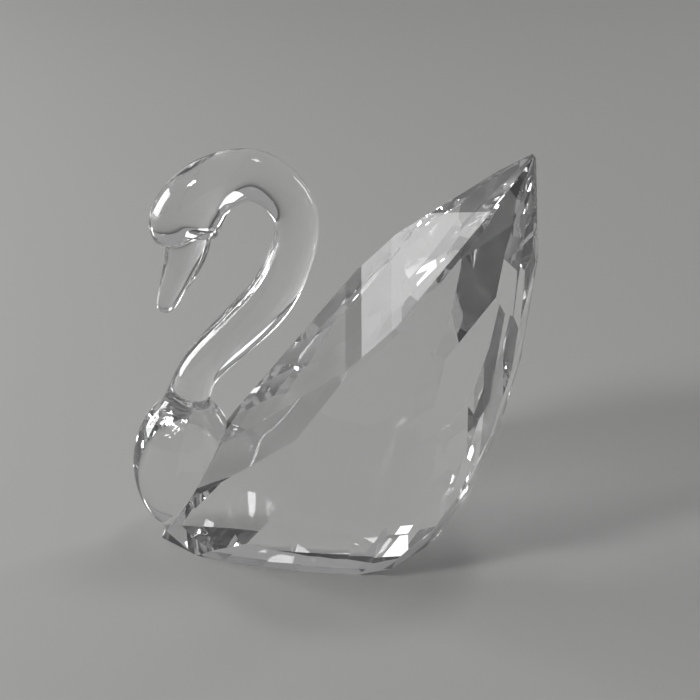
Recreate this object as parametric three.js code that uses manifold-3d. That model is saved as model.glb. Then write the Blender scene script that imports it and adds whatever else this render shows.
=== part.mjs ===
// Crystal glass swan: a cut and polished faceted body, and a hot-worked neck with its head and breast,
// bonded together on one flat facet by a film of clear adhesive.
// Millimetres, +Z up. The swan looks towards -X, its tail points to +X, and Y = 0 is its plane of symmetry.
// The origin lies on the base facet, which is the face the swan stands on.
import * as THREE from 'three';
import { mergeVertices } from 'three/addons/utils/BufferGeometryUtils.js';
import Module from 'manifold-3d';

const wasm = await Module();
wasm.setup();

const { degToRad } = THREE.MathUtils;
const point = (x, y, z) => new THREE.Vector3(x, y, z);

// ---- driving dimensions of the body ---------------------------------------------------------------------

const TAIL_TIP = { x: 28.1, z: 62.6, halfWidth: 0.3 }; // before its point is blunted
const TIP_BLUNTING = 0.4; // how much of that point is ground away
const TIP_SLOPE = degToRad(-40); // of the tiny facet that blunts it
const BACK_SLOPE = degToRad(45.6); // of the large flat facet on the back
const JOINT_SLOPE = degToRad(60.9); // of the flat facet that carries the breast
const JOINT_FOOT_X = -25.6; // where the joint facet would meet the base facet
const BEVEL_WIDTH = 0.9; // of the strips along the edges of the back facet

// The three rows of small facets are tangent to a rounded hull. In side view it is nearly an ellipse, with a
// long front and a short back. Across, it is blunt, and it also narrows towards both ends.
const HULL = {
  x: 5,
  z: 44,
  front: 80,
  back: 22.8,
  depth: 45.3,
  halfWidth: 17.7,
  bluntness: 4.6,
  roundness: 1.8, // 2 for a true ellipse, and less for a straighter heel
  planFront: 38,
  planBack: 27,
};
// The rows from the keel up. Their facets touch the hull at these shares of the side ellipse, under the body
// and behind it, and at these stations in degrees round the ellipse, counted backward from straight down.
const ROWS = [
  { below: 0.91, behind: 0.985, stations: [-18, -14, -10, -6, -2, 9, 24, 38, 52, 66, 80] },
  { below: 0.79, behind: 0.9, stations: [-16, -12, -8, -4, 2, 16, 31, 45, 59, 73] },
  { below: 0.66, behind: 0.8, stations: [-14, -9, -4, 9, 24, 39, 55, 70] },
];
// Corners of the large facets on the +Y side. Those on the back facet need only x and y.
const RIM_FRONT = { x: -9, y: 7.6 };
const RIM_WIDE = { x: 4.4, y: 16 };
const RIM_REAR = { x: 11, y: 15.3 };
const RIM_TAIL = { x: 21.7, y: 7.2 };
const TAIL_NOTCH = point(24.2, 8.3, 52); // the lower corner between the two large tail facets
const TAIL_HEEL = point(26.8, 4.6, 51); // the lower corner of the narrow tail facet
const TAIL_KEEL = point(29.1, 1, 44.6); // on the edge that runs down from the tip
const FRONT_CORNER = point(-20, 5.9, 10); // where the joint facet, the side and the front corner facets meet
const FRONT_TOE = point(-24.9, 3, 0.2);
const BASE_CORNER = point(-16, 8.9, 0);
const SIDE_CORNER = point(-9, 14.2, 5);
const SIDE_FACET = point(6, 16.2, 40); // a point on the upright flat at the body's widest place

const BLANK = { length: 90, width: 60, height: 140 }; // of the block the body is ground from
const CUTTER = 300; // edge of the box that grinds one facet, larger than the blank

// ---- driving dimensions of the neck, head and breast ----------------------------------------------------

// The centre line from the tip of the bill, over the head and down the neck into the breast, with the half
// thickness of the glass in side view and across the swan at each station.
const NECK_STATIONS = [
  { x: -23.4, z: 38, side: 1.1, across: 1.2 }, // tip of the bill, before it is rounded
  { x: -22.1, z: 41.2, side: 1.75, across: 1.75 },
  { x: -20.3, z: 45.4, side: 2.6, across: 2.4 },
  { x: -19.3, z: 48.9, side: 3.2, across: 2.9 }, // root of the bill
  { x: -19.85, z: 51, side: 4.75, across: 3.95 }, // brow
  { x: -18.2, z: 54.5, side: 4.9, across: 4.4 },
  { x: -15.3, z: 57.5, side: 4.05, across: 4.1 },
  { x: -10.6, z: 59, side: 3.5, across: 3.7 },
  { x: -6.2, z: 56.8, side: 3.3, across: 3.5 },
  { x: -4, z: 51.7, side: 3.05, across: 3.2 },
  { x: -5.7, z: 45, side: 3.3, across: 3.4 },
  { x: -8.6, z: 39.8, side: 3.55, across: 3.5 },
  { x: -13.7, z: 34.2, side: 3.3, across: 3.3 },
  { x: -18.3, z: 29.3, side: 3, across: 3.1 },
  { x: -20.2, z: 25.2, side: 3.2, across: 3.3 },
  { x: -20.8, z: 21.6, side: 4, across: 4 },
  { x: -21.2, z: 17.5, side: 4.6, across: 4.4 }, // the end lies inside the breast
];
const RINGS_PER_STATION = 4;
const SIDES = 28; // around the neck
const TIP_RINGS = 5; // of the rounded end of the bill, within the first half station

const BREAST = { x: -21.6, z: 12.9, length: 7.7, halfWidth: 6.6, height: 11.7, lean: degToRad(5) };
const BREAST_SEGMENTS = { around: 32, along: 22 };
const BOND_LINE = 0.2; // thickness of the adhesive film
const BOND_CLEARANCE = 0.01; // between the film and each of the glass faces it wets
const BOND_MARGIN = 0.4; // how far the film ends inside the edges of both glass faces

// ---- solids ---------------------------------------------------------------------------------------------

function solidOf(geometry) {
  const bare = geometry.clone();
  bare.deleteAttribute('normal');
  bare.deleteAttribute('uv');
  const welded = mergeVertices(bare, 1e-5);
  return new wasm.Manifold(
    new wasm.Mesh({
      numProp: 3,
      vertProperties: new Float32Array(welded.attributes.position.array),
      triVerts: new Uint32Array(welded.index.array),
    }),
  );
}

function meshOf(name, solid, material) {
  const { vertProperties, triVerts } = solid.getMesh();
  const geometry = new THREE.BufferGeometry();
  geometry.setAttribute('position', new THREE.BufferAttribute(new Float32Array(vertProperties), 3));
  geometry.setIndex(new THREE.BufferAttribute(new Uint32Array(triVerts), 1));
  geometry.computeVertexNormals();
  const mesh = new THREE.Mesh(geometry, material);
  mesh.name = name;
  return mesh;
}

// ---- facets ---------------------------------------------------------------------------------------------
// A facet is a plane: its outward unit normal, and its distance from the origin along that normal.

function facetAt(corner, direction) {
  const normal = direction.clone().normalize();
  return { normal, distance: normal.dot(corner) };
}

function facetThrough(a, b, c) {
  const normal = b.clone().sub(a).cross(c.clone().sub(a)).normalize();
  const heart = point(HULL.x, 0, HULL.z / 2);
  if (normal.dot(heart) > normal.dot(a)) {
    normal.negate();
  }
  return { normal, distance: normal.dot(a) };
}

function mirrored({ normal, distance }) {
  return { normal: point(normal.x, -normal.y, normal.z), distance };
}

// A narrow strip along the edge between two facets, equally inclined to both.
function bevelBetween(a, b, width) {
  const sum = a.normal.clone().add(b.normal);
  const halfTurn = a.normal.angleTo(b.normal) / 2;
  const depth = (width / 2) * Math.tan(halfTurn);
  return { normal: sum.clone().normalize(), distance: (a.distance + b.distance) / sum.length() - depth };
}

function cutterFor({ normal, distance }) {
  const box = new THREE.BoxGeometry(CUTTER, CUTTER, CUTTER);
  box.translate(0, 0, CUTTER / 2);
  box.applyQuaternion(new THREE.Quaternion().setFromUnitVectors(point(0, 0, 1), normal));
  box.translate(normal.x * distance, normal.y * distance, normal.z * distance);
  return solidOf(box);
}

function ground(blank, facets) {
  return facets.reduce((solid, facet) => solid.subtract(cutterFor(facet)), blank);
}

// ---- the body -------------------------------------------------------------------------------------------

const slopingFacet = (slope, x, z) => facetAt(point(x, 0, z), point(-Math.sin(slope), 0, Math.cos(slope)));

const BASE_FACET = facetAt(point(0, 0, 0), point(0, 0, -1));
const BACK_FACET = slopingFacet(BACK_SLOPE, TAIL_TIP.x, TAIL_TIP.z);
const JOINT_FACET = slopingFacet(JOINT_SLOPE, JOINT_FOOT_X, 0);

function onBackFacet({ x, y }) {
  return point(x, y, TAIL_TIP.z - (TAIL_TIP.x - x) * Math.tan(BACK_SLOPE));
}

function hullHalfWidth(x, z) {
  const ahead = x < HULL.x;
  const along = (x - HULL.x) / (ahead ? HULL.front : HULL.back);
  const down = (z - HULL.z) / HULL.depth;
  const plan = (x - HULL.x) / (ahead ? HULL.planFront : HULL.planBack);
  const sideEllipse = Math.max(1 - Math.abs(along) ** HULL.roundness - Math.abs(down) ** HULL.roundness, 0);
  const planEllipse = Math.max(1 - plan ** 2, 0);
  return HULL.halfWidth * sideEllipse ** (1 / HULL.bluntness) * Math.sqrt(planEllipse);
}

function hullFacet(station, { below, behind }) {
  const turn = degToRad(station);
  const ahead = turn < 0;
  const radius = ahead ? below : THREE.MathUtils.lerp(below, behind, Math.sqrt(Math.sin(turn)));
  const reach = ahead ? HULL.front : HULL.back;
  const power = 2 / HULL.roundness;
  const x = HULL.x + reach * radius * Math.sign(turn) * Math.abs(Math.sin(turn)) ** power;
  const z = HULL.z - HULL.depth * radius * Math.cos(turn) ** power;
  const step = 1e-4;
  const slopeX = (hullHalfWidth(x + step, z) - hullHalfWidth(x - step, z)) / (2 * step);
  const slopeZ = (hullHalfWidth(x, z + step) - hullHalfWidth(x, z - step)) / (2 * step);
  return facetAt(point(x, hullHalfWidth(x, z), z), point(-slopeX, 1, -slopeZ));
}

function rowFacets() {
  return ROWS.flatMap((row) => row.stations.map((station) => hullFacet(station, row)));
}

function largeSideFacets() {
  const front = facetThrough(onBackFacet(RIM_FRONT), onBackFacet(RIM_WIDE), FRONT_CORNER);
  const middle = facetAt(SIDE_FACET, point(0, 1, 0));
  const rear = facetThrough(onBackFacet(RIM_REAR), onBackFacet(RIM_TAIL), TAIL_NOTCH);
  const bevels = [middle, rear].map((side) => bevelBetween(side, BACK_FACET, BEVEL_WIDTH));
  return [front, middle, rear, ...bevels];
}

function cornerFacets() {
  return [
    facetThrough(FRONT_CORNER, FRONT_TOE, BASE_CORNER),
    facetThrough(FRONT_CORNER, BASE_CORNER, SIDE_CORNER),
  ];
}

function tailFacets() {
  const tip = point(TAIL_TIP.x, TAIL_TIP.halfWidth, TAIL_TIP.z);
  return [
    facetThrough(tip, onBackFacet(RIM_TAIL), TAIL_NOTCH),
    facetThrough(tip, TAIL_NOTCH, TAIL_HEEL),
    facetThrough(tip, TAIL_HEEL, TAIL_KEEL),
  ];
}

function tipFacet() {
  const direction = slopingFacet(TIP_SLOPE, 0, 0).normal;
  return facetAt(point(TAIL_TIP.x, 0, TAIL_TIP.z).addScaledVector(direction, -TIP_BLUNTING), direction);
}

function bodyFacets() {
  const oneSide = [...rowFacets(), ...largeSideFacets(), ...cornerFacets(), ...tailFacets()];
  return [BASE_FACET, BACK_FACET, tipFacet(), ...oneSide, ...oneSide.map(mirrored)];
}

function facetedBody() {
  const blank = solidOf(new THREE.BoxGeometry(BLANK.length, BLANK.width, BLANK.height));
  return ground(blank, [JOINT_FACET, ...bodyFacets()]);
}

// ---- the neck, head and breast --------------------------------------------------------------------------

// A turned rod with both ends closed. Its height runs from 0 to 1, and its radius is 1 except at the tip.
function turnedRod() {
  const rings = RINGS_PER_STATION * (NECK_STATIONS.length - 1);
  const tipHeight = RINGS_PER_STATION / 2 / rings;
  const profile = [];
  for (let step = 0; step < TIP_RINGS; step += 1) {
    const turn = (Math.PI / 2) * (step / TIP_RINGS);
    profile.push(new THREE.Vector2(Math.sin(turn), tipHeight * (1 - Math.cos(turn))));
  }
  for (let ring = RINGS_PER_STATION / 2; ring <= rings; ring += 1) {
    profile.push(new THREE.Vector2(1, ring / rings));
  }
  profile.push(new THREE.Vector2(0, 1));
  return new THREE.LatheGeometry(profile, SIDES);
}

// Bends the rod's axis along the centre line, and gives it the thicknesses of the stations.
function bentRod() {
  const centres = NECK_STATIONS.map(({ x, z }) => point(x, 0, z));
  const thicknesses = NECK_STATIONS.map(({ side, across }) => point(side, across, 0));
  const centreLine = new THREE.CatmullRomCurve3(centres);
  const thickness = new THREE.CatmullRomCurve3(thicknesses);
  const rod = turnedRod();
  const { position } = rod.attributes;
  for (let index = 0; index < position.count; index += 1) {
    const t = position.getY(index);
    const centre = centreLine.getPoint(t);
    const tangent = centreLine.getTangent(t);
    const half = thickness.getPoint(t);
    const sideways = point(-tangent.z, 0, tangent.x).multiplyScalar(position.getX(index) * half.x);
    const across = position.getZ(index) * half.y;
    position.setXYZ(index, centre.x + sideways.x, across, centre.z + sideways.z);
  }
  return rod;
}

function breast(share) {
  const egg = new THREE.SphereGeometry(share, BREAST_SEGMENTS.around, BREAST_SEGMENTS.along);
  egg.rotateX(Math.PI / 2);
  egg.scale(BREAST.length, BREAST.halfWidth, BREAST.height);
  egg.rotateY(BREAST.lean);
  egg.translate(BREAST.x, 0, BREAST.z);
  return solidOf(egg);
}

// A plane ahead of the joint facet that faces it, so that whatever is behind the plane is ground away.
function facingJoint(distanceAhead) {
  return { normal: JOINT_FACET.normal.clone().negate(), distance: -(JOINT_FACET.distance + distanceAhead) };
}

function neckAndHead() {
  const blown = solidOf(bentRod()).add(breast(1));
  return ground(blown, [facingJoint(BOND_LINE + 2 * BOND_CLEARANCE)]);
}

// ---- the adhesive ---------------------------------------------------------------------------------------

function adhesiveFilm() {
  const share = 1 - BOND_MARGIN / BREAST.halfWidth;
  const front = { normal: JOINT_FACET.normal, distance: JOINT_FACET.distance + BOND_CLEARANCE + BOND_LINE };
  const edges = bodyFacets().map(({ normal, distance }) => ({ normal, distance: distance - BOND_MARGIN }));
  return ground(breast(share), [facingJoint(BOND_CLEARANCE), front, ...edges]);
}

// ---- the figurine ---------------------------------------------------------------------------------------

function crystal(colour, roughness) {
  return new THREE.MeshStandardMaterial({ color: colour, roughness, transparent: true, opacity: 0.35 });
}

const swan = new THREE.Group();
swan.name = 'crystal_swan';
swan.add(meshOf('faceted_body', facetedBody(), crystal(0xf2f6f8, 0.02)));
swan.add(meshOf('neck_and_head', neckAndHead(), crystal(0xf4f7f8, 0.03)));
swan.add(meshOf('adhesive_bond', adhesiveFilm(), crystal(0xf8f8f4, 0.1)));

export default swan;
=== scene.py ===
"""Crystal glass swan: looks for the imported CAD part. Metres, in the CAD frame: it faces -X and +Z is up."""

import math

import bmesh
import bpy
import numpy as np
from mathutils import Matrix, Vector


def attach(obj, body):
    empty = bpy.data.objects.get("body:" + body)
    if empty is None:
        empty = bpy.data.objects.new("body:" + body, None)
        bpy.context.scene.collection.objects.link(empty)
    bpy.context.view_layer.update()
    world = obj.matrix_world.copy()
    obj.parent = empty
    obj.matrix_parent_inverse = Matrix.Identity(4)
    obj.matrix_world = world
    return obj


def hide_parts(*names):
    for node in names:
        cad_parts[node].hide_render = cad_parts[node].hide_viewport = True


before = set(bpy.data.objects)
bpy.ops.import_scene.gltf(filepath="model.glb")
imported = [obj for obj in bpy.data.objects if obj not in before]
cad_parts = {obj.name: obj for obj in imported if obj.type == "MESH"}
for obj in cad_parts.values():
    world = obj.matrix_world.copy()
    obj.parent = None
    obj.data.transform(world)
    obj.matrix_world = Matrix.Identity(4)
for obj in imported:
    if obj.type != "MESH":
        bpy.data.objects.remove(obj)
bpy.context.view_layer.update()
MM = 0.001

# ---- dimensions, as in the CAD part --------------------------------------------------------------------

JOINT_SLOPE = math.radians(60.9)
JOINT_FOOT = Vector((-25.6, 0, 0)) * MM
JOINT_NORMAL = Vector((-math.sin(JOINT_SLOPE), 0, math.cos(JOINT_SLOPE)))
JOINT_UPHILL = Vector((math.cos(JOINT_SLOPE), 0, math.sin(JOINT_SLOPE)))
FILM_GAP = 0.22 * MM

# Centre line of the neck from the tip of the bill down to the breast, in millimetres: x, z, half thickness in
# side view, half thickness across, and roundness of the section (2 is an ellipse, less is nearer a diamond).
NECK = [
    (-23.40, 38.0, 1.10, 1.15, 2.00),
    (-22.75, 39.6, 1.45, 1.45, 1.95),
    (-22.05, 41.3, 1.80, 1.70, 1.90),
    (-21.10, 43.5, 2.25, 1.95, 1.85),
    (-20.25, 45.6, 2.65, 2.25, 1.80),
    (-19.60, 47.6, 3.00, 2.50, 1.80),
    (-19.35, 49.2, 3.30, 2.75, 1.85),
    (-19.55, 50.2, 3.90, 3.20, 1.95),
    (-19.85, 51.0, 4.75, 3.95, 2.00),
    (-19.45, 52.3, 4.98, 4.25, 2.00),
    (-18.40, 54.3, 4.85, 4.40, 2.00),
    (-16.90, 56.1, 4.50, 4.30, 2.00),
    (-15.00, 57.6, 4.10, 4.10, 2.00),
    (-10.60, 59.0, 3.55, 3.75, 2.00),
    (-6.20, 56.8, 3.30, 3.50, 2.00),
    (-4.00, 51.7, 3.05, 3.25, 2.00),
    (-5.70, 45.0, 3.30, 3.40, 2.00),
    (-8.60, 39.8, 3.50, 3.50, 2.00),
    (-13.70, 34.2, 3.30, 3.30, 2.00),
    (-18.20, 29.3, 3.00, 3.10, 2.00),
    (-20.10, 25.4, 3.10, 3.20, 2.00),
]
BREAST_CENTRE = (-21.6, 12.9)
BREAST_HALF = (7.7, 6.6, 11.7)  # side, across, height
BREAST_LEAN = math.radians(5)
BREAST_TOP = 10.5  # above the centre, where the neck runs into it
BREAST_END = math.radians(150)  # round from the top of the breast, where a small flat closes it underneath
RING_STEP = 0.22  # between rings along the neck
AROUND = 96
TIP_LENGTH = 1.1  # of the rounded end of the bill
SMALLEST_SWELL = 0.01  # of the first ring, which can't shrink to nothing
NECK_SAMPLES = 4000  # along the neck, before the rings are spaced evenly
BREAST_SAMPLES = 1500
FILLET_PASSES = 6  # of smoothing, for a small fillet at the top of the breast and under the brow


# ---- helpers -------------------------------------------------------------------------------------------


def cubic_spline(values, at):
    """A natural cubic spline through values at 0, 1, 2 and so on, read at the places in at."""
    y = np.asarray(values, float)
    n = len(y)
    system = np.eye(n) * 4
    system[0, 0] = system[-1, -1] = 1
    for row in range(1, n - 1):
        system[row, row - 1] = system[row, row + 1] = 1
    right = np.zeros(n)
    right[1:-1] = 6 * (y[2:] - 2 * y[1:-1] + y[:-2])
    bend = np.linalg.solve(system, right)
    i = np.clip(at.astype(int), 0, n - 2)
    t = at - i
    a = 1 - t
    return a * y[i] + t * y[i + 1] + ((a**3 - a) * bend[i] + (t**3 - t) * bend[i + 1]) / 6


def new_object(name, mesh):
    piece = bpy.data.objects.new(name, mesh)
    bpy.context.scene.collection.objects.link(piece)
    return piece


# ---- materials -----------------------------------------------------------------------------------------


def node_material(name):
    material = bpy.data.materials.new(name)
    material.use_nodes = True
    tree = material.node_tree
    return material, tree, tree.nodes["Principled BSDF"], tree.nodes["Material Output"]


def clear_glass(shader, colour):
    shader.inputs["Base Color"].default_value = (*colour, 1)
    shader.inputs["Roughness"].default_value = 0.0
    shader.inputs["IOR"].default_value = IOR
    shader.inputs["Transmission Weight"].default_value = 1.0


def crystal(name, colour):
    material, _, glass, _ = node_material(name)
    clear_glass(glass, colour)
    return material


def bonded_face(name, colour):
    """A glass face wetted by adhesive that bends light alike, so the mix lets all of it pass straight on."""
    material, tree, glass, output = node_material(name)
    clear_glass(glass, colour)
    clear = tree.nodes.new("ShaderNodeBsdfTransparent")
    mix = tree.nodes.new("ShaderNodeMixShader")
    mix.inputs[0].default_value = 1.0
    tree.links.new(glass.outputs[0], mix.inputs[1])
    tree.links.new(clear.outputs[0], mix.inputs[2])
    tree.links.new(mix.outputs[0], output.inputs["Surface"])
    return material


def cured_film(name, colour):
    """Almost clear, with a faint sheen."""
    material, tree, gloss, output = node_material(name)
    gloss.inputs["Base Color"].default_value = (*colour, 1)
    gloss.inputs["Roughness"].default_value = 0.25
    clear = tree.nodes.new("ShaderNodeBsdfTransparent")
    mix = tree.nodes.new("ShaderNodeMixShader")
    mix.inputs[0].default_value = FILM_CLEARNESS
    tree.links.new(gloss.outputs[0], mix.inputs[1])
    tree.links.new(clear.outputs[0], mix.inputs[2])
    tree.links.new(mix.outputs[0], output.inputs["Surface"])
    return material


BODY_TINT = (0.99, 0.993, 0.995)
NECK_TINT = (0.99, 0.993, 0.993)
FILM_TINT = (0.9, 0.92, 0.93)
FILM_CLEARNESS = 0.97
IOR = 1.55
body_crystal = crystal("cut_crystal", BODY_TINT)
neck_crystal = crystal("fire_polished_crystal", NECK_TINT)
joint_glass = bonded_face("bonded_joint", BODY_TINT)
film_material = cured_film("cured_adhesive", FILM_TINT)


# ---- the cut body --------------------------------------------------------------------------------------

EDGE_WIDTH = 0.05 * MM  # of the fine flat that polishing leaves along every edge
FOOTPRINT_SIDES = 40  # of the oval outline of the breast on the joint facet
FOOTPRINT_CENTRE = JOINT_FOOT + JOINT_UPHILL * 12.1 * MM
FOOTPRINT_HALF = Vector((10.0, 6.2)) * MM  # along the slope, across
ON_JOINT = 0.99999  # how nearly a face's normal has to follow the joint facet's for it to lie on that facet
WELD = 1e-6  # metres
COPLANAR = math.radians(0.05)


def footprint_sides():
    """A point and an outward direction for each side of that outline."""
    across = Vector((0, 1, 0))
    for side in range(FOOTPRINT_SIDES):
        turn = 2 * math.pi * side / FOOTPRINT_SIDES
        c, s = math.cos(turn), math.sin(turn)
        edge = JOINT_UPHILL * FOOTPRINT_HALF.x * c + across * FOOTPRINT_HALF.y * s
        outward = JOINT_UPHILL * c / FOOTPRINT_HALF.x + across * s / FOOTPRINT_HALF.y
        yield FOOTPRINT_CENTRE + edge, outward.normalized()


def on_joint(face):
    return face.is_valid and face.normal.dot(JOINT_NORMAL) > ON_JOINT


def mark_footprint(work):
    """Cuts the breast's outline into the joint facet and gives the face inside it the second slot."""
    bonded = max(filter(on_joint, work.faces), key=lambda face: face.calc_area())
    for edge, outward in footprint_sides():
        cut = bmesh.ops.bisect_plane(
            work,
            geom=[bonded, *bonded.edges, *bonded.verts],
            plane_co=edge,
            plane_no=outward,
        )
        cut_edges = [item for item in cut["geom_cut"] if isinstance(item, bmesh.types.BMEdge)]
        parts = {face for cut_edge in cut_edges for face in cut_edge.link_faces} | {bonded}
        pieces = filter(on_joint, parts)
        bonded = min(pieces, key=lambda face: (face.calc_center_median() - edge).dot(outward))
    bonded.material_index = 1


def cut_body():
    """The CAD facets as whole polygons, with polished edges."""
    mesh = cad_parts["faceted_body"].data.copy()
    work = bmesh.new()
    work.from_mesh(mesh)
    bmesh.ops.remove_doubles(work, verts=work.verts, dist=WELD)
    bmesh.ops.dissolve_limit(work, angle_limit=COPLANAR, verts=work.verts, edges=work.edges)
    bmesh.ops.bevel(
        work,
        geom=list(work.edges),
        offset=EDGE_WIDTH,
        offset_type="OFFSET",
        segments=1,
        affect="EDGES",
        clamp_overlap=True,
    )
    for face in work.faces:
        face.smooth = False
    mark_footprint(work)
    work.to_mesh(mesh)
    work.free()
    mesh.materials.clear()
    mesh.materials.append(body_crystal)
    mesh.materials.append(joint_glass)
    piece = new_object("cut_crystal_body", mesh)
    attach(piece, "root")
    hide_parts("faceted_body")


# ---- the neck, head and breast -------------------------------------------------------------------------


def ring_table():
    """Rows like those of NECK, evenly spaced from the bill to the breast, and how far along each one is."""
    stations = np.array(NECK)
    fine = np.linspace(0, len(stations) - 1, NECK_SAMPLES)
    neck = np.array([cubic_spline(column, fine) for column in stations.T]).T
    turn = np.linspace(math.acos(BREAST_TOP / BREAST_HALF[2]), BREAST_END, BREAST_SAMPLES)
    height = BREAST_HALF[2] * np.cos(turn)
    breast = np.array(
        [
            BREAST_CENTRE[0] + height * math.sin(BREAST_LEAN),
            BREAST_CENTRE[1] + height * math.cos(BREAST_LEAN),
            BREAST_HALF[0] * np.sin(turn),
            BREAST_HALF[1] * np.sin(turn),
            np.full_like(turn, 2.0),
        ]
    ).T
    table = np.vstack([neck, breast])
    # even steps along the outline, which is longer than the centre line where the glass swells
    run = np.hypot(np.hypot(np.diff(table[:, 0]), np.diff(table[:, 1])), np.diff(table[:, 2]))
    along = np.concatenate([[0], np.cumsum(run)])
    even = np.arange(0, along[-1], RING_STEP)
    table = np.array([np.interp(even, along, column) for column in table.T]).T
    for _ in range(FILLET_PASSES):
        table[1:-1] = (table[:-2] + 2 * table[1:-1] + table[2:]) / 4
    return table, even


def neck_tube(work):
    """Rings along the neck and breast, joined by quads and closed at both ends."""
    table, along = ring_table()
    centre = np.stack([table[:, 0], np.zeros(len(table)), table[:, 1]], 1) * MM
    tangent = np.gradient(centre, axis=0)
    tangent /= np.linalg.norm(tangent, axis=1)[:, None]
    outward = np.stack([-tangent[:, 2], np.zeros(len(table)), tangent[:, 0]], 1)
    tip = np.clip(along / TIP_LENGTH, 0, 1)
    swell = np.sqrt(np.clip(1 - (1 - tip) ** 2, SMALLEST_SWELL**2, 1))
    rings = []
    for k in range(len(table)):
        ring = []
        for step in range(AROUND):
            turn = 2 * math.pi * step / AROUND
            c, s = math.cos(turn), math.sin(turn)
            power = 2 / table[k, 4]
            side = math.copysign(abs(c) ** power, c) * table[k, 2] * swell[k] * MM
            across = math.copysign(abs(s) ** power, s) * table[k, 3] * swell[k] * MM
            place = centre[k] + outward[k] * side
            ring.append(work.verts.new((place[0], across, place[2])))
        rings.append(ring)
    for near, far in zip(rings, rings[1:]):
        for step in range(AROUND):
            after = (step + 1) % AROUND
            work.faces.new((near[step], near[after], far[after], far[step]))
    work.faces.new(list(reversed(rings[0])))
    work.faces.new(rings[-1])
    bmesh.ops.recalc_face_normals(work, faces=work.faces)
    for face in work.faces:
        face.smooth = True


def cut_on_joint(work):
    """Cuts the breast flat on top of the adhesive and gives the flat the second slot."""
    cut = bmesh.ops.bisect_plane(
        work,
        geom=list(work.verts) + list(work.edges) + list(work.faces),
        plane_co=JOINT_FOOT + JOINT_NORMAL * FILM_GAP,
        plane_no=JOINT_NORMAL,
        clear_inner=True,
    )
    rim = [item for item in cut["geom_cut"] if isinstance(item, bmesh.types.BMEdge)]
    cap = bmesh.ops.contextual_create(work, geom=rim)["faces"]
    for edge in rim:
        edge.smooth = False
    for face in cap:
        face.smooth = False
        face.material_index = 1
        if face.normal.dot(JOINT_NORMAL) > 0:
            face.normal_flip()


def neck_and_breast():
    """One smooth piece of hot-worked glass."""
    mesh = bpy.data.meshes.new("neck_and_breast")
    work = bmesh.new()
    neck_tube(work)
    cut_on_joint(work)
    work.to_mesh(mesh)
    work.free()
    mesh.materials.append(neck_crystal)
    mesh.materials.append(joint_glass)
    piece = new_object("blown_neck_and_breast", mesh)
    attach(piece, "root")
    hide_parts("neck_and_head")


def adhesive():
    """The CAD film keeps its shape and gets its material."""
    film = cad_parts["adhesive_bond"]
    film.data.materials.clear()
    film.data.materials.append(film_material)


cut_body()
neck_and_breast()
adhesive()


# ---- the studio ----------------------------------------------------------------------------------------

FLOOR_HALF = 3.0
FLOOR_DROP = 0.05 * MM  # keeps the floor clear of the base facet
FLOOR_COLOUR = (0.62, 0.62, 0.61)

ROOM_BRIGHT_SIDE = Vector((-0.3, 0.9, -0.3)).normalized()  # behind the swan, a little to the left and low
ROOM_SPREAD = (-0.3, 0.7)  # of the cosine to that direction, from darkest to brightest
ROOM_LEVELS = (0.05, 0.3)

SWAN = (0, 0, 0.03)
# Softboxes: name, place, the point it faces, and width and height, all in metres, then power in watts.
SOFTBOXES = [
    ("window_near", (-0.56, 0.035, 0.135), (0, 0.0105, 0.04), (0.13, 0.25), 1.2),
    ("window_far", (-0.56, 0.185, 0.135), (0, 0.0555, 0.04), (0.13, 0.25), 1.2),
    ("key", (-0.5, -0.3, 0.45), SWAN, (0.1, 0.1), 1.3),
    ("back", (-0.40, 0.72, 0.14), SWAN, (0.22, 0.26), 0.22),
    ("overhead", (0.12, 0.1, 0.6), SWAN, (0.1, 0.1), 0.3),
    ("rim", (0.45, 0.35, 0.16), SWAN, (0.05, 0.3), 0.4),
]


def floor():
    corners = [(-FLOOR_HALF, -FLOOR_HALF, 0), (FLOOR_HALF, -FLOOR_HALF, 0)]
    corners += [(FLOOR_HALF, FLOOR_HALF, 0), (-FLOOR_HALF, FLOOR_HALF, 0)]
    mesh = bpy.data.meshes.new("floor")
    mesh.from_pydata(corners, [], [(0, 1, 2, 3)])
    material, _, surface, _ = node_material("pale_floor")
    surface.inputs["Base Color"].default_value = (*FLOOR_COLOUR, 1)
    surface.inputs["Roughness"].default_value = 0.7
    surface.inputs["Specular IOR Level"].default_value = 0.2
    mesh.materials.append(material)
    piece = new_object("floor", mesh)
    piece.location.z = -FLOOR_DROP


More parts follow.
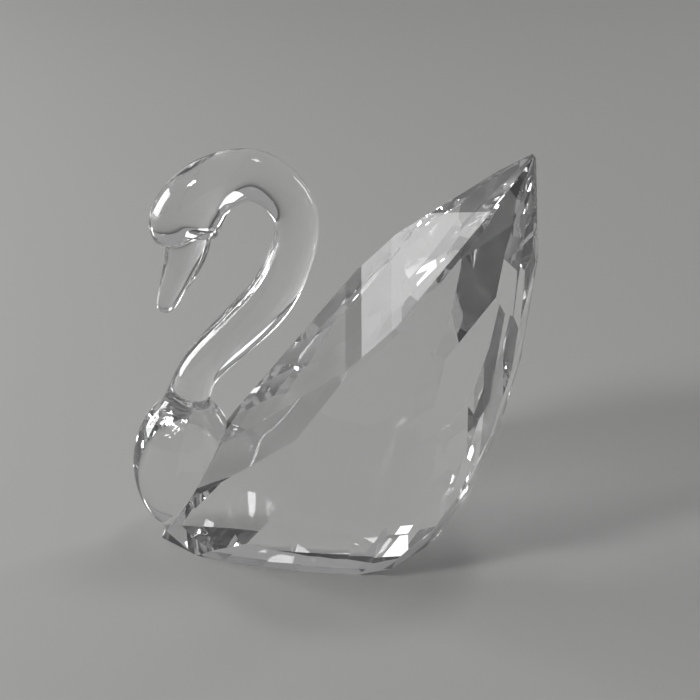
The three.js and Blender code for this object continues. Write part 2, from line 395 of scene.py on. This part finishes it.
def room():
    """Dim surroundings that brighten smoothly behind the swan and are dark overhead and behind the camera."""
    world = bpy.data.worlds.new("studio")
    bpy.context.scene.world = world
    world.use_nodes = True
    tree = world.node_tree
    direction = tree.nodes.new("ShaderNodeTexCoord")
    behind = tree.nodes.new("ShaderNodeVectorMath")
    behind.operation = "DOT_PRODUCT"
    behind.inputs[1].default_value = ROOM_BRIGHT_SIDE
    ramp = tree.nodes.new("ShaderNodeMapRange")
    ramp.interpolation_type = "SMOOTHSTEP"
    ramp.inputs["From Min"].default_value, ramp.inputs["From Max"].default_value = ROOM_SPREAD
    ramp.inputs["To Min"].default_value, ramp.inputs["To Max"].default_value = ROOM_LEVELS
    tree.links.new(direction.outputs["Generated"], behind.inputs[0])
    tree.links.new(behind.outputs["Value"], ramp.inputs["Value"])
    tree.links.new(ramp.outputs[0], tree.nodes["Background"].inputs["Color"])


def softbox(name, place, aim, size, power):
    light = bpy.data.lights.new(name, "AREA")
    light.shape = "RECTANGLE"
    light.size, light.size_y = size
    light.energy = power
    lamp = bpy.data.objects.new(name, light)
    lamp.location = place
    lamp.rotation_euler = (Vector(aim) - Vector(place)).to_track_quat("-Z", "Y").to_euler()
    bpy.context.scene.collection.objects.link(lamp)


def studio():
    floor()
    room()
    for box in SOFTBOXES:
        softbox(*box)


# ---- the camera ----------------------------------------------------------------------------------------

AZIMUTH = math.radians(2)
ELEVATION = math.radians(28)
AIM = Vector((3.3, 0, 32.3)) * MM
DISTANCE = 216 * MM
LENS = 77.14  # millimetres, on a sensor 36 wide
NEAR_CLIP = 0.01


def camera():
    data = bpy.data.cameras.new("camera")
    data.lens = LENS
    data.sensor_width = 36
    data.clip_start = NEAR_CLIP
    level = math.cos(ELEVATION)
    look = Vector((-math.sin(AZIMUTH) * level, math.cos(AZIMUTH) * level, -math.sin(ELEVATION)))
    eye = bpy.data.objects.new("camera", data)
    eye.location = AIM - look * DISTANCE
    eye.rotation_euler = look.to_track_quat("-Z", "Y").to_euler()
    bpy.context.scene.collection.objects.link(eye)
    bpy.context.scene.camera = eye


studio()
camera()
scene = bpy.context.scene
scene.view_settings.view_transform = "Standard"
scene.cycles.max_bounces = 32
scene.cycles.transmission_bounces = 32
scene.cycles.glossy_bounces = 24
scene.cycles.transparent_max_bounces = 32
scene.cycles.use_denoising = True
